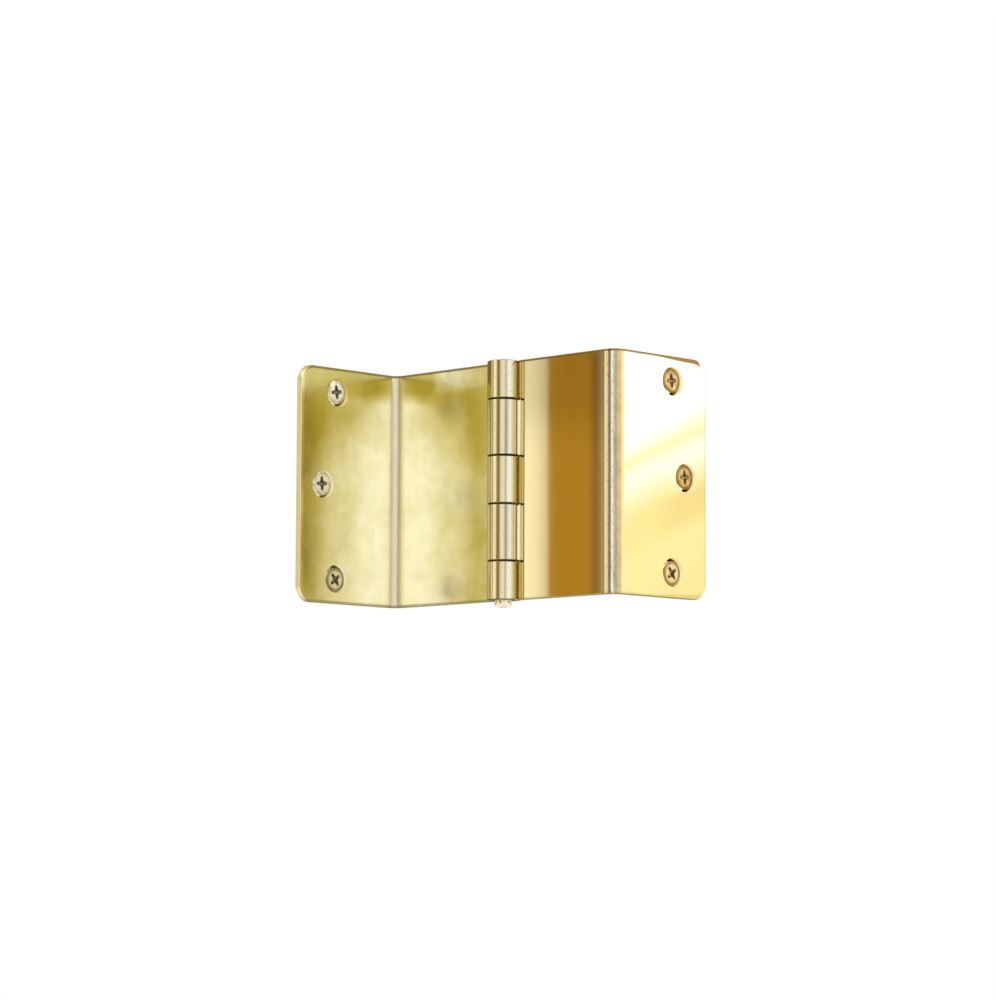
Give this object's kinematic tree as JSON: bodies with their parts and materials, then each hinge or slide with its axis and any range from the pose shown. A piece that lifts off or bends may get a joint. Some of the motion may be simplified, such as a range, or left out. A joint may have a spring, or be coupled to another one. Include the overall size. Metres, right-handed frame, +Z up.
{
  "type": "expandable swing-clear door hinge",
  "caption": "Swing-clear door hinge with two leaves folded square, rolled knuckles on a fixed pin and countersunk wood screws.",
  "frame": {"origin": "centre of the flat face of the jamb leaf's outer panel that lies on the jamb; the pin's axis is 52.6 mm along -X and 28.35 mm along -Y from it", "axes": "+Z up along the pin, +X out of the jamb through the leaf's outer panel, +Y from the pin's side towards that panel's free edge"},
  "size_m": [0.1267, 0.0987, 0.0919],
  "materials": {
    "jamb_leaf_brass": "polished brass plate on steel",
    "door_leaf_brass": "polished brass plate on steel",
    "pin_brass": "polished brass plate on steel",
    "jamb_screw_brass": "bright brass plate on steel",
    "door_screw_brass": "bright brass plate on steel"
  },
  "bodies": {
    "jamb_side": {"jamb_leaf": "jamb_leaf_brass", "hinge_pin": "pin_brass", "jamb_leaf_screws": "jamb_screw_brass"},
    "door_side": {"door_leaf": "door_leaf_brass", "door_leaf_screws": "door_screw_brass"}
  },
  "joints": [
    {"name": "pin_swing", "type": "hinge", "parent": "jamb_side", "child": "door_side", "pos_m": [-0.0526, -0.02835, 0], "axis": [0, 0, 1], "range_deg": [-90, 180]}
  ]
}
